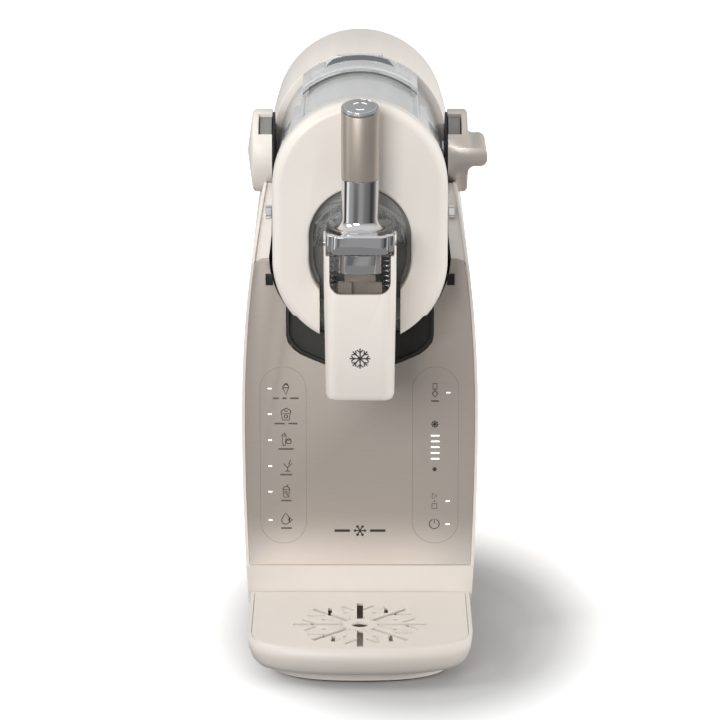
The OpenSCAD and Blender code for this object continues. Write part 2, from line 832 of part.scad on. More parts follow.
// Tube swept along a helix, with closed ends
module coil(r, wire, z0, z1, turns, n = 12, m = 8) {
    count = turns * n;
    points = [
        for (i = [0:count]) let (a = 360 * i / n, z = z0 + (z1 - z0) * i / count)
            for (k = [0:m - 1]) let (b = 360 * k / m, q = r + wire * cos(b))
                [q * cos(a), q * sin(a), z + wire * sin(b)]
    ];
    sides = [
        for (i = [0:count - 1], k = [0:m - 1]) let (l = (k + 1) % m, b = m * i)
            each [[b + k, b + m + l, b + m + k], [b + k, b + l, b + m + l]]
    ];
    ends = [[for (k = [m - 1:-1:0]) k], [for (k = [0:m - 1]) m * count + k]];
    polyhedron(points, concat(sides, ends));
}

// Springs that pull the handle back upright
module return_springs() {
    color(steel) both_sides() translate([21.2, spout_y - 5, 0]) coil(2.9, 0.55, 312.7, 344.3, 8);
}

// ---- auger, evaporator and drive ----

// Radial blade swept along the auger's axis
module helix_blade(r0, r1, y0, y1, turns, t, n) {
    step = (y1 - y0) / n;
    corners = [[r0, -t / 2], [r1, -t / 2], [r1, t / 2], [r0, t / 2]];
    points = [
        for (i = [0:n]) let (a = 360 * turns * i / n)
            for (c = corners) [c[0] * cos(a), y0 + step * i + c[1], c[0] * sin(a)]
    ];
    sides = [
        for (i = [0:n - 1], k = [0:3]) let (b = 4 * i, m = (k + 1) % 4)
            each [[b + k, b + 4 + m, b + m], [b + k, b + 4 + k, b + 4 + m]]
    ];
    polyhedron(points, concat([[0, 1, 2, 3]], sides, [[4 * n + 3, 4 * n + 2, 4 * n + 1, 4 * n]]));
}

module auger() {
    color([0.86, 0.86, 0.84, 0.9]) translate([0, 0, lower_z]) {
        helix_blade(38.5, 60.5, -70, 70, 3, 3, 96);
        difference() {
            rod_y(60, -84, -79);
            rod_y(44, -90, -70);
        }
        for (a = [20:120:340]) rotate([0, a, 0]) box(8, 46, -84, -79.5, -6, 6);
        difference() {
            rod_y(15, -86, -76);
            rod_y(6, -78, -70);
        }
        // ribs that carry the blade
        for (a = [0:120:240]) rotate([0, a, 0]) box(44, 52, -79.2, 71, -2, 2);
        difference() {
            rod_y(60, 70, 73);
            rod_y(40, 60, 80);
        }
    }
}

module drive_shaft() {
    color(steel) translate([0, 0, lower_z]) {
        rod_y(5.98, -77.9, gear_y + 20);
    }
}

module shaft_bush() {
    color("#b08d57") translate([0, 0, lower_z]) for (y = [-72, 74]) difference() {
        rod_y(7.98, y + 0.5, y + 12);
        rod_y(6.03, y - 1, y + 13);
    }
}

module evaporator() {
    color(steel) translate([0, 0, lower_z]) difference() {
        union() {
            rod_y(36, -70, 89);
            rod_y(34, -72, -69);
        }
        rod_y(8, -80, 92);
        difference() {
            rod_y(33, -66, 84);
            rod_y(11, -70, 92);
        }
        // ports of the refrigerant lines
        for (x = [-12, 12]) rod_y(1.85, 80, 92, x, -20);
    }
}

module evaporator_seal() {
    color("#2b2b2a") translate([0, 0, lower_z]) difference() {
        rod_y(38.2, 76, 80);
        rod_y(36.02, 70, 90);
    }
}

module gearbox_case() {
    color("#3a3a3a") difference() {
        box(-34, 34, gear_y, gear_y + 16, 292, 380);
        box(-31, 31, gear_y + 2, gear_y + 14, 295, 377);
        rod_y(6.4, 80, 120, 0, lower_z);
        rod_y(4.4, 102, 120, 0, lower_z + gear_gap);
    }
}

// Spur gear in front view, with slim teeth for backlash
module gear_front(teeth, phase) {
    r = gear_module * teeth / 2;
    pitch = 360 / teeth;
    difference() {
        union() {
            circle(r = r - 1.5);
            for (i = [0:teeth - 1]) rotate(phase + i * pitch) polygon([
                [r - 2.4, -1.25], [r, -0.95], [r + 1.2, -0.4], [r + 1.2, 0.4], [r, 0.95], [r - 2.4, 1.25]
            ]);
        }
        circle(r = teeth > 20 ? 6 : 4);
    }
}

module drive_gear() {
    color("#d8d4c4") translate([0, 0, lower_z]) along_y(gear_y + 5, gear_y + 11) gear_front(gear_teeth, 0);
}

module motor_pinion() {
    color("#b08d57") translate([0, 0, lower_z + gear_gap])
        along_y(gear_y + 5, gear_y + 11) gear_front(pinion_teeth, 15);
}

module gear_motor() {
    color("#777777") translate([0, 0, lower_z + gear_gap]) {
        rod_y(21, gear_y + 16.1, 158);
        rod_y(3.95, gear_y + 3, gear_y + 17);
    }
}

// ---- cooling ----

module compressor() {
    color("#222222") translate([0, 20, 0]) {
        translate([0, 0, 22]) rotate_extrude() polygon(concat(
            [[0, 0], [34, 0]], arc(12, 34, 12, 270, 360, 5), arc(22, 24, 104, 0, 90, 8), [[0, 126]]
        ));
        box(-52, 52, -34, 34, 19, 22.5);
    }
}

module compressor_mounts() {
    color("#1a1a1a") for (x = [-42, 42], y = [-26, 26]) translate([x, 20 + y, 0]) {
        translate([0, 0, 11.02]) cylinder(h = 7.9, r = 6);
    }
}

module condenser() {
    color("#9aa0a4") {
        for (x = [-58:4:58]) box(x - 0.4, x + 0.4, 118, 138, 38, 168);
        for (z = [46:20:166]) rod_x(3, -62, 62, 128, z);
    }
}

module fan_shroud() {
    color("#2a2a2a") difference() {
        box(-58, 58, 158, 162, 50, 168);
        rod_y(47, 150, 170, 0, fan_z);
    }
    color("#2a2a2a") {
        for (a = [45:90:315]) translate([0, 0, fan_z]) rotate([0, a, 0])
            box(15, 49, 158.5, 161.5, -2.5, 2.5);
        difference() {
            rod_y(17, 158, 162, 0, fan_z);
            rod_y(14.25, 150, 170, 0, fan_z);
        }
    }
}

module fan_motor() {
    color("#3d3d3d") {
        rod_y(14.2, 150, 162, 0, fan_z);
        rod_y(2, 161.9, 178, 0, fan_z);
    }
}

module fan_blades() {
    color("#1f1f1f") translate([0, 0, fan_z]) difference() {
        union() {
            rod_y(13, 165, 178);
            for (a = [0:60:300]) rotate([0, a, 0])
                translate([26, 171.5, 0]) rotate([32, 0, 0]) cube([32, 2, 15], center = true);
        }
        rod_y(2.05, 150, 190);
    }
}

// Pipe through a list of points, with round elbows
module pipe(points, r) {
    for (i = [0:len(points) - 2]) {
        v = points[i + 1] - points[i];
        translate(points[i]) rotate([0, acos(v[2] / norm(v)), atan2(v[1], v[0])])
            cylinder(h = norm(v), r = r, $fn = 24);
        translate(points[i]) sphere(r = r, $fn = 24);
    }
}

module refrigerant_lines() {
    color("#b87333") {
        pipe([[-20, 20, 150.6], [-20, 20, 172], [-66, 20, 172], [-66, 128, 172], [-66, 128, 160]], 2.4);
        pipe([
            [66, 128, 46], [66, 92, 46], [66, 92, 200], [12, 92, 200], [12, 92, 307], [12, 86, 307]
        ], 1.8);
        pipe([
            [20, 20, 150], [20, 20, 186], [-12, 20, 186], [-12, 92, 186], [-12, 92, 307], [-12, 86, 307]
        ], 1.8);
    }
}

module control_board() {
    color("#2f6b46") box(-46, 46, 104, 168, 408, 409.6);
    color("#222222") {
        box(-30, -6, 116, 140, 409.6, 420);
        box(6, 30, 120, 136, 409.6, 424);
    }
}

module touch_board() {
    color("#2f6b46") both_sides() box(46, 78, front_y + 3.3, front_y + 4.9, 78, 222);
}

module cover_screws() {
    color("#8a8a88") both_sides() for (z = [66, 200, 334]) {
        rod_y(3.2, rear_y + 0.02, rear_y + 1.4, 53, z);
    }
}

module cord_gland() {
    color("#222222") difference() {
        union() {
            rod_y(8, rear_y - 9, rear_y + 0.2, 38, 210);
            rod_y(11, rear_y + 0.02, rear_y + 4, 38, 210);
            rod_y(10.4, rear_y - 9, rear_y - wall - 0.05, 38, 210);
        }
        rod_y(3.7, rear_y - 12, rear_y + 10, 38, 210);
    }
}

foot_ring();
base_pan();
drip_tray();
drip_grate();
side_cover_left();
side_cover_right();
rear_cover();
front_panel();
recess_plate();
cavity_liner();
arm_trims();
side_catches();
panel_bumpers();
status_lights();
rear_housing();
side_cap();
side_cap_insert();
lock_knob();
lock_knob_insert();
lock_shaft();
vessel();
vessel_gasket();
front_bezel();
bezel_seal();
fill_lid();
lid_gasket();
lid_hinge_pin();
valve_body();
guide_collar();
spout_cover();
nozzle();
snowflake_badge();
pivot_pin();
handle_yoke();
handle_stem();
handle_grip();
handle_cap();
plunger();
plunger_seals();
return_springs();
auger();
drive_shaft();
shaft_bush();
evaporator();
evaporator_seal();
gearbox_case();
drive_gear();
motor_pinion();
gear_motor();
compressor();
compressor_mounts();
condenser();
fan_shroud();
fan_blades();
fan_motor();
refrigerant_lines();
control_board();
touch_board();
cover_screws();
cord_gland();
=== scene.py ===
"""Looks of the soft-serve and slush machine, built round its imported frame."""
import json
import math

import bpy
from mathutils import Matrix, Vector


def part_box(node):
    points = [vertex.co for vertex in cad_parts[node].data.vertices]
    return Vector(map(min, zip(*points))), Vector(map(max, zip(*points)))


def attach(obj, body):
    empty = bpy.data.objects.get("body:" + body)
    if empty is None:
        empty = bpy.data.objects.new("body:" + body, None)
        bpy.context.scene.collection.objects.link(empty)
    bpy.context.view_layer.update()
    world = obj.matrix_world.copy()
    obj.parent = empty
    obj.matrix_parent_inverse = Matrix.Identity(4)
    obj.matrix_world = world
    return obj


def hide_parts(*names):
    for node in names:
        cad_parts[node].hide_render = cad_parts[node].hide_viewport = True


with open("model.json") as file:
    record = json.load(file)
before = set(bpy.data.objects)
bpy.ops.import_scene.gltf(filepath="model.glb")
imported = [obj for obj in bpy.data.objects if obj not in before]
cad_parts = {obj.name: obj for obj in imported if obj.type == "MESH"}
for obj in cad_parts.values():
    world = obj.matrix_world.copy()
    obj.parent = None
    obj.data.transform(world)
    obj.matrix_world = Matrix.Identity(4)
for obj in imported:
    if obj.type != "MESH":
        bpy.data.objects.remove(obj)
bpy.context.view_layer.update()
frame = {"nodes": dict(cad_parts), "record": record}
NODES = frame["nodes"]
MM = 0.001


# ---------------------------------------------------------------- materials

def srgb(text):
    """Linear colour, with alpha 1, of a #rrggbb string."""
    parts = [int(text[i:i + 2], 16) / 255 for i in (1, 3, 5)]
    return tuple(c / 12.92 if c < 0.04045 else ((c + 0.055) / 1.055) ** 2.4 for c in parts) + (1.0,)


class Surface:
    """A Principled material with procedural colour, roughness and bump."""

    def __init__(self, name, colour, rough, metal=0.0, **sockets):
        self.mat = bpy.data.materials.new(name)
        self.mat.use_nodes = True
        self.tree = self.mat.node_tree
        self.nodes, self.links = self.tree.nodes, self.tree.links
        self.bsdf = self.nodes["Principled BSDF"]
        self.colour = colour
        self.bsdf.inputs["Base Color"].default_value = srgb(colour)
        self.bsdf.inputs["Roughness"].default_value = rough
        self.bsdf.inputs["Metallic"].default_value = metal
        for key, value in sockets.items():
            self.bsdf.inputs[key.replace("_", " ")].default_value = value
        coords = self.nodes.new("ShaderNodeTexCoord")
        self.place = coords.outputs["Object"]
        self.rough = rough
        self.mat.diffuse_color = srgb(colour)

    def noise(self, scale, detail=2.0, stretch=(1, 1, 1), distortion=0.0):
        """A noise factor; scale is in cycles per metre, squeezed along each axis by stretch."""
        mapping = self.nodes.new("ShaderNodeMapping")
        mapping.inputs["Scale"].default_value = stretch
        self.links.new(self.place, mapping.inputs["Vector"])
        tex = self.nodes.new("ShaderNodeTexNoise")
        tex.inputs["Scale"].default_value = scale
        tex.inputs["Detail"].default_value = detail
        tex.inputs["Distortion"].default_value = distortion
        self.links.new(mapping.outputs["Vector"], tex.inputs["Vector"])
        return tex.outputs["Fac"]

    def ramp(self, fac, low, high, start=0.3, stop=0.7):
        node = self.nodes.new("ShaderNodeMapRange")
        node.inputs["From Min"].default_value = start
        node.inputs["From Max"].default_value = stop
        node.inputs["To Min"].default_value = low
        node.inputs["To Max"].default_value = high
        self.links.new(fac, node.inputs["Value"])
        return node.outputs["Result"]

    def vary_colour(self, fac, other, start=0.3, stop=0.7):
        mix = self.nodes.new("ShaderNodeMix")
        mix.data_type = "RGBA"
        mix.inputs["A"].default_value = srgb(self.colour)
        mix.inputs["B"].default_value = srgb(other)
        self.links.new(self.ramp(fac, 0, 1, start, stop), mix.inputs["Factor"])
        self.links.new(mix.outputs["Result"], self.bsdf.inputs["Base Color"])
        return self

    def vary_rough(self, fac, spread):
        value = self.ramp(fac, self.rough - spread, self.rough + spread)
        self.links.new(value, self.bsdf.inputs["Roughness"])
        return self

    def bump(self, fac, strength, distance):
        node = self.nodes.new("ShaderNodeBump")
        node.inputs["Strength"].default_value = strength
        node.inputs["Distance"].default_value = distance
        self.links.new(fac, node.inputs["Height"])
        self.links.new(node.outputs["Normal"], self.bsdf.inputs["Normal"])
        return self


def moulded(name, colour, other, rough, grain=0.12, **sockets):
    """Moulded plastic: faint cloudy colour, a fine spark-eroded grain and slightly uneven gloss."""
    s = Surface(name, colour, rough, **sockets)
    s.vary_colour(s.noise(14, 3), other, 0.35, 0.65)
    s.vary_rough(s.noise(60, 4), 0.04)
    s.bump(s.noise(2600, 2), grain, 0.00005)
    return s.mat


def brushed(name, colour, other, rough, stretch, metal=0.8, lines=900, depth=0.10, **sockets):
    """Metal with a fine directional grain; stretch is small along the brushing."""
    s = Surface(name, colour, rough, metal, **sockets)
    grain = s.noise(lines, 4, stretch)
    s.vary_colour(grain, other, 0.3, 0.7)
    s.vary_rough(s.noise(lines, 2, stretch), 0.5 * depth)
    s.bump(grain, depth, 0.00003)
    return s.mat


def polished(name, colour, rough):
    """Bright plating, with faint smudges where hands and cloths leave them."""
    s = Surface(name, colour, rough, 1.0)
    s.vary_rough(s.noise(35, 4, distortion=0.6), rough * 0.6)
    s.bump(s.noise(70, 1), 0.02, 0.0002)
    return s.mat


def clear(name, colour, low, high, rough=0.08):
    """Clear moulded plastic: it lets light through face-on and turns milky and bright at grazing angles."""
    s = Surface(name, colour, rough, 0.0, IOR=1.49, Coat_Weight=0.6, Coat_Roughness=0.03)
    facing = s.nodes.new("ShaderNodeLayerWeight")
    facing.inputs["Blend"].default_value = 0.35
    s.links.new(s.ramp(facing.outputs["Facing"], low, high, 0.05, 0.95), s.bsdf.inputs["Alpha"])
    s.vary_rough(s.noise(40, 3), 0.03)
    s.bump(s.noise(90, 2), 0.03, 0.0003)
    return s.mat


def glowing(name, colour, strength):
    """A lit window, its glow varying a little in fine specks across it."""
    s = Surface(name, colour, 0.4)
    s.bsdf.inputs["Emission Color"].default_value = srgb(colour)
    s.links.new(s.ramp(s.noise(900, 2), strength * 0.85, strength * 1.15), s.bsdf.inputs["Emission Strength"])
    return s.mat


def paint_deck_reflection(mat, low, high, colour):
    """Paints a reflection of the deck in front of a metal into its colour: lighter towards its foot."""
    nodes, links = mat.node_tree.nodes, mat.node_tree.links
    place = nodes.new("ShaderNodeTexCoord")
    split = nodes.new("ShaderNodeSeparateXYZ")
    links.new(place.outputs["Object"], split.inputs["Vector"])
    ramp = nodes.new("ShaderNodeMapRange")
    ramp.interpolation_type = "SMOOTHSTEP"
    ramp.inputs["From Min"].default_value = low
    ramp.inputs["From Max"].default_value = high
    ramp.inputs["To Min"].default_value = 1
    ramp.inputs["To Max"].default_value = 0
    links.new(split.outputs["Z"], ramp.inputs["Value"])
    mix = nodes.new("ShaderNodeMix")
    mix.data_type = "RGBA"
    shader = nodes["Principled BSDF"].inputs["Base Color"]
    links.new(shader.links[0].from_socket, mix.inputs["A"])
    mix.inputs["B"].default_value = srgb(colour)
    links.new(ramp.outputs["Result"], mix.inputs["Factor"])
    links.new(mix.outputs["Result"], shader)


CREAM = moulded("cream_plastic", "#efe8e0", "#ece4dc", 0.38)
CREAM_GLOSS = moulded("cream_gloss", "#f1eae3", "#eee7df", 0.32, 0.06)
# a darker copy of the cream: painted shade on the low base, tray and grate
CREAM_SHADED = moulded("cream_painted_shade", "#e3dbd3", "#e0d8cf", 0.42)
PANEL = brushed("panel_metal", "#c6bcb3", "#c1b7ae", 0.38, (0.03, 1, 1), 0.55, 2200, 0.05)
# the panel's foot is lightened by a painted reflection of the deck
paint_deck_reflection(PANEL, 0.058, 0.105, "#f4ebe3")
CHAMPAGNE = brushed("champagne_metal", "#c4b9ae", "#c1b6ab", 0.36, (1, 1, 0.1), 0.7, 2400, 0.02)
KNOB = brushed("knob_metal", "#dad0c7", "#d7cdc4", 0.30, (0.1, 1, 1), 0.6, 2400, 0.02)
CHROME = polished("chrome", "#e6e6e8", 0.05)
STEEL = brushed("stainless", "#c9cbcd", "#bcbec1", 0.26, (1, 0.05, 1), 1.0, 700)
CLEAR = clear("clear_plastic", "#eef0f1", 0.10, 0.80)
LID = clear("lid_plastic", "#f2f4f5", 0.35, 0.92)
SMOKED = clear("smoked_plastic", "#8f867b", 0.72, 0.95, 0.16)
DARK = moulded("dark_plastic", "#302f2a", "#2e2d28", 0.55, 0.1)
BLACK = moulded("black_plastic", "#121211", "#171615", 0.5, 0.2)
INK = moulded("ink", "#2c2825", "#322e2a", 0.6, 0.02)
LABEL = moulded("label", "#5c544c", "#625a52", 0.6, 0.02)
LINE = moulded("panel_line", "#857b73", "#8b8179", 0.5, 0.02)
GREY = moulded("grey_plastic", "#8b8a87", "#7f7e7b", 0.4)
POCKET = moulded("pocket_grey", "#5f6062", "#595a5c", 0.4)
WHITE = moulded("white_plastic", "#d9d7d2", "#cfcdc7", 0.38)
RUBBER = moulded("rubber", "#2b2a29", "#333231", 0.75, 0.3)
GASKET = moulded("grey_rubber", "#6a6a6a", "#5e5e5e", 0.6, 0.2)
SEAL = moulded("clear_seal", "#85847f", "#7d7c77", 0.4, 0.1)
# dark brown for a sheet behind the window: painted shade
PAINTED_SHADE = moulded("painted_window_shade", "#57504a", "#5b544e", 0.7, 0.05)
RAIL = moulded("rail_plastic", "#e4e6e8", "#dcdee0", 0.25, 0.05)
CAP = brushed("cap_metal", "#b4b4b5", "#ababac", 0.3, (0.05, 1, 1), 0.8, 900)
LIGHT = glowing("light", "#ffffff", 1.6)
CAP_LIGHT = glowing("cap_light", "#f4f6f8", 0.8)
COPPER = brushed("copper", "#b5714b", "#a2623f", 0.3, (1, 1, 0.1), 1.0, 500)
BRONZE = brushed("bronze", "#a98650", "#987644", 0.42, (1, 0.2, 1), 1.0, 500)
BLACK_METAL = moulded("black_metal", "#191919", "#222222", 0.32, 0.3)
MOTOR = brushed("motor_metal", "#84868a", "#74767a", 0.36, (1, 0.1, 1), 0.9, 500)
FINS = brushed("fin_aluminium", "#b4b8bb", "#a2a6a9", 0.35, (1, 1, 0.1), 1.0, 500)
BOARD = moulded("board", "#2c6b48", "#245a3c", 0.4, 0.1)

FINISHES = {
    "cream_plastic": CREAM, "panel_metal": PANEL, "champagne_metal": CHAMPAGNE, "chrome": CHROME,
    "stainless": STEEL, "clear_plastic": CLEAR, "smoked_plastic": SMOKED, "dark_plastic": DARK,
    "black_plastic": BLACK, "grey_plastic": GREY, "white_plastic": WHITE, "rubber": RUBBER,
    "grey_rubber": GASKET, "light": LIGHT, "copper": COPPER, "bronze": BRONZE, "black_metal": BLACK_METAL,
    "motor_metal": MOTOR, "fin_aluminium": FINS, "board": BOARD,
}
SPECIAL = {"lock_knob": KNOB, "fill_lid": LID, "front_bezel": CREAM_GLOSS, "spout_cover": CREAM_GLOSS,
           "snowflake_badge": INK, "handle_cap": CAP, "bezel_seal": SEAL, "base_pan": CREAM_SHADED,
           "drip_tray": CREAM_SHADED, "drip_grate": CREAM_SHADED}
# Edge radius of each node's moulded or machined edges, in mm; 0 keeps the node's edges as they are
EDGES = {
    "front_bezel": 1.2, "spout_cover": 1.0, "drip_tray": 1.2, "drip_grate": 0.35, "base_pan": 1.6,
    "side_cover_left": 1.2, "side_cover_right": 1.2, "rear_housing": 0.8, "rear_cover": 0.4,
    "front_panel": 0.2,
    "recess_plate": 0.3, "side_cap": 1.0, "lock_knob": 1.0, "handle_yoke": 0.5, "handle_stem": 0.3,
    "handle_grip": 0.4, "handle_cap": 0.5, "vessel": 0.5, "fill_lid": 0.7, "valve_body": 0.4,
    "arm_trims": 0.5,
    "guide_collar": 0.4, "side_catches": 0.3, "panel_bumpers": 0.4, "cord_gland": 0.6, "gearbox_case": 1.0,
    "compressor": 1.0, "auger": 0.3, "plunger": 0.3, "nozzle": 0.3, "foot_ring": 0.4, "cavity_liner": 0.3,
}
EDGE_DEFAULT = 0.15
SMOOTH_ANGLE = math.radians(28)
FLAT_ANGLE = math.radians(0.4)
WELD_GAP = 0.002
# Plates full of slots, whose flat faces stay in triangles and are shaded flat
LACED = ("drip_grate", "snowflake_badge", "fan_shroud", "rear_cover", "condenser")


def finish_node(name, slot):
    """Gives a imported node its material, smooth shading over curves and small rounded edges."""
    o = NODES[name]
    o.data.materials.clear()
    o.data.materials.append(SPECIAL.get(name, FINISHES[slot]))
    weld = o.modifiers.new("weld", "WELD")
    weld.merge_threshold = WELD_GAP * MM
    if name in LACED:
        o.data.shade_flat()
    else:
        o.data.shade_smooth()
        flat = o.modifiers.new("flat_faces", "DECIMATE")
        flat.decimate_type = "DISSOLVE"
        flat.angle_limit = FLAT_ANGLE
    radius = EDGES.get(name, EDGE_DEFAULT)
    bevel = o.modifiers.new("edges", "BEVEL")
    bevel.width = radius * MM
    bevel.segments = 3
    bevel.limit_method = "ANGLE"
    bevel.angle_limit = SMOOTH_ANGLE
    bevel.harden_normals = name not in LACED
    bevel.miter_outer = "MITER_ARC"


for part in frame["record"]["subparts"]:
    finish_node(part["node"], part["material_slot"])


# ---------------------------------------------------------------- pieces

def mesh_piece(name, verts, faces, material, body, smooth=False):
    mesh = bpy.data.meshes.new(name)
    mesh.from_pydata(verts, [], faces)
    mesh.validate()
    mesh.materials.append(material)
    if smooth:
        mesh.shade_smooth()
    o = bpy.data.objects.new(name, mesh)
    bpy.context.scene.collection.objects.link(o)
    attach(o, body)
    return o


PANEL_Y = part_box("front_panel")[0].y
SEG = 20


def circle(x, z, r, a0=0, a1=360, n=SEG):
    """Points of an arc in the panel's plane, in mm, counted anticlockwise from +X."""
    steps = [math.radians(a0 + (a1 - a0) * i / n) for i in range(n + 1)]
    return [(x + r * math.cos(a), z + r * math.sin(a)) for a in steps]


def bead(name, runs, width, rounding, material, body):
    """Round beads along runs, each a list of (x, y, z) in metres and whether it closes on itself."""
    curve = bpy.data.curves.new(name, "CURVE")
    curve.dimensions = "3D"
    curve.bevel_depth = width / 2 * MM
    curve.bevel_resolution = rounding
    for points, closed in runs:
        spline = curve.splines.new("POLY")
        spline.points.add(len(points) - 1)
        for p, co in zip(spline.points, points):
            p.co = (*co, 1)
        spline.use_cyclic_u = closed
    curve.materials.append(material)
    o = bpy.data.objects.new(name, curve)
    bpy.context.scene.collection.objects.link(o)
    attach(o, body)


# Share of a bead's width by which its middle lies behind the panel's face
BEAD_SINK = 0.28


def strokes(name, lines, width, material):
    """Printed or engraved lines on the panel, each a list of (x, z) in mm, as fine beads sunk into it."""
    y = PANEL_Y + BEAD_SINK * width * MM
    runs = []
    for points in lines:
        closed = len(points) > 2 and math.dist(points[0], points[-1]) < 0.01
        kept = points[:-1] if closed else points
        runs.append(([(x * MM, y, z * MM) for x, z in kept], closed))
    bead(name, runs, width, 1, material, "machine")


def at(x, z, lines):
    """Lines moved to a place on the panel."""
    return [[(x + px, z + pz) for px, pz in line] for line in lines]


def stadium(x, z_low, z_high, r):
    return [circle(x, z_high, r, 0, 180, 32) + circle(x, z_low, r, 180, 360, 32) + [(x + r, z_high)]]


ZONE_R = 18.6
ZONE_LOW, ZONE_HIGH = 76.9 + ZONE_R, 225.4 - ZONE_R
strokes("touch_zone_left", stadium(-62, ZONE_LOW, ZONE_HIGH, ZONE_R), 0.35, LINE)
strokes("touch_zone_right", stadium(61, ZONE_LOW, ZONE_HIGH, ZONE_R), 0.35, LINE)

# Each symbol's lines as (x, z) in mm from its middle
CONE = [[(-2.3, 0.8), (0, -5), (2.3, 0.8)], [(-2.5, 0.8), (2.5, 0.8)],
        circle(0, 1.2, 2.4, 0, 180, 10), circle(0.2, 2.9, 1.5, 10, 190, 8), [(0.2, 4.2), (0.6, 5)]]
TUB = [[(-2.8, -5), (-3.5, 0.6), (3.5, 0.6), (2.8, -5), (-2.8, -5)],
       [(-4, 0.8), (-3.6, 2.9), (0.4, 5), (3.6, 3.2), (4, 0.8)],
       circle(0, -2, 1.4, n=12), [(-1.6, 2.8), (1.8, 2.4)]]
SHAKE = [[(-3.2, 3), (-2.4, -5), (-0.6, -5), (0.1, 3), (-3.2, 3)], circle(-1.6, 3.2, 1.6, 0, 180, 8),
         [(-1.4, 4.6), (-0.9, 5.8)], circle(2.2, -1.4, 2.1, n=14), [(0.6, -0.4), (3.8, -0.4)]]
GLASS = [[(-2.2, 1.4), (1.2, -2), (4.6, 1.4)], [(1.2, -2), (1.2, -5)], [(-0.8, -5), (3.2, -5)],
         [(2, 0.6), (3.8, 4.6)]]
TUMBLER = [[(-2.6, 1.4), (-2, -5), (2, -5), (2.6, 1.4), (-2.6, 1.4)],
           circle(0, 1.4, 2.7, 0, 180, 10), [(0.4, 4), (1.6, 5.6)],
           [(-1.6, -0.8), (-0.4, 0.2), (0.9, -0.9), (-0.2, -2), (-1.6, -0.8)], [(0.3, -2.4), (1.4, -3.6)]]
DROP = [[(-0.6, 5), (-3.2, 0.6)] + circle(-0.6, -1.4, 3.2, 150, 390, 16) + [(2, 1.6), (-0.6, 5)],
        [(3, 1.2), (3.6, -0.4), (5, -1), (3.6, -1.6), (3, -3.2),
         (2.4, -1.6), (1.2, -1), (2.4, -0.4), (3, 1.2)]]
LEFT_X = -59.8
# Symbol, height of its middle, and the lengths of the plain bars below it
LEFT_ICONS = {"cone": (CONE, 207.2, (6.5, 5, 8.5)), "tub": (TUB, 186, (10, 9)),
              "shake": (SHAKE, 164.6, (14,)), "glass": (GLASS, 143, (11.5,)),
              "tumbler": (TUMBLER, 121, (10,)), "drop": (DROP, 97.6, (10.5,))}
BAR_DROP, BAR_HEIGHT, BAR_GAP = 7.9, 1.8, 1.2


def bars(name, x, z, lengths):
    """A row of plain rounded bars, centred on x."""
    left = x - (sum(lengths) + BAR_GAP * (len(lengths) - 1)) / 2
    lines = []
    for length in lengths:
        lines.append([(left + BAR_HEIGHT / 2, z), (left + length - BAR_HEIGHT / 2, z)])
        left += length + BAR_GAP
    strokes(name, lines, BAR_HEIGHT, LABEL)


for icon, (lines, z, lengths) in LEFT_ICONS.items():
    strokes("icon_" + icon, at(LEFT_X, z, lines), 0.9, INK)
    bars("bars_" + icon, LEFT_X, z - BAR_DROP, lengths)


def flake(r, arms=8, barb=0.3):
    """Lines of a snowflake."""
    out = []
    for i in range(arms):
        a = 2 * math.pi * i / arms
        out.append([(0, 0), (r * math.cos(a), r * math.sin(a))])
        for s in (-1, 1):
            b = a + s * math.radians(45)
            q = 0.62 * r
            out.append([(q * math.cos(a), q * math.sin(a)),
                        (q * math.cos(a) + barb * r * math.cos(b), q * math.sin(a) + barb * r * math.sin(b))])
    return out


RIGHT_X = 60.4
SERVE = [[(-1.6, 5.6), (1.6, 5.6), (1.6, 1), (-1.6, 1), (-1.6, 5.6)],
         [(-0.7, 1), (-0.7, 0), (0.7, 0), (0.7, 1)],
         [(-2, -3), (0, -6), (2, -3)], circle(0, -3, 2, 0, 180, 8)]
POWER = [circle(0, 0, 4, 112, 428, 28), [(0, 0.6), (0, 4.4)]]
PLAY = [[(-1.8, 2.4), (2.2, 0), (-1.8, -2.4), (-1.8, 2.4)]]
STOP = [[(-2, 2), (2, 2), (2, -2), (-2, -2), (-2, 2)]]
MILD = [circle(0, 0, r, n=14) for r in (0.35, 0.9, 1.5)]
DOT = [circle(0, 0, 0.25, n=8)]
# Symbol, height of its middle, and the width of its lines
RIGHT_ICONS = {"serve": (SERVE, 206, 0.9), "cold": (flake(3), 177.6, 0.9), "mild": (MILD, 139.6, 0.7),
               "start": (PLAY, 117, 0.8), "between": (DOT, 112.6, 0.9), "stop": (STOP, 108.4, 0.8),
               "power": (POWER, 93.2, 0.9)}
SERVE_BAR_Z, SERVE_BAR = 197, 8
bars("bars_serve", RIGHT_X, SERVE_BAR_Z, (SERVE_BAR,))
for icon, (lines, z, width) in RIGHT_ICONS.items():
    strokes("icon_" + icon, at(RIGHT_X, z, lines), width, INK)

# A plain emblem in the middle of the panel: a snowflake between two bars
EMBLEM_Z, EMBLEM_R, EMBLEM_BAR = 87.5, 5.2, 12.5
strokes("emblem_flake", at(0, EMBLEM_Z, flake(EMBLEM_R, 6)), 1.3, INK)
strokes("emblem_bars", [[(side * (EMBLEM_R + 3), EMBLEM_Z), (side * (EMBLEM_R + 3 + EMBLEM_BAR), EMBLEM_Z)]
                        for side in (-1, 1)], 2.8, INK)


# ---------------------------------------------------------------- tap

def remake(node, name, body, change):
    """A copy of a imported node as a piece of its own, with each corner moved by change."""
    source = NODES[node]
    o = source.copy()
    o.data = source.data.copy()
    o.name = o.data.name = name
    for v in o.data.vertices:
        v.co = change(v.co.copy())
    bpy.context.scene.collection.objects.link(o)
    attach(o, body)
    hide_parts(node)
    return o


COVER_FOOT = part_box("spout_cover")[0].z
# Share of its width that the cover loses at its foot, and the height, in metres, where that starts
TAPER, TAPER_TOP = 0.055, 0.300


def tapered(co):
    """Narrows the cover evenly towards its foot."""
    depth = min(1.0, max(0.0, (TAPER_TOP - co.z) / (TAPER_TOP - COVER_FOOT)))
    co.x *= 1 - TAPER * depth
    return co


remake("spout_cover", "spout_cover_shell", "vessel_unit", tapered)


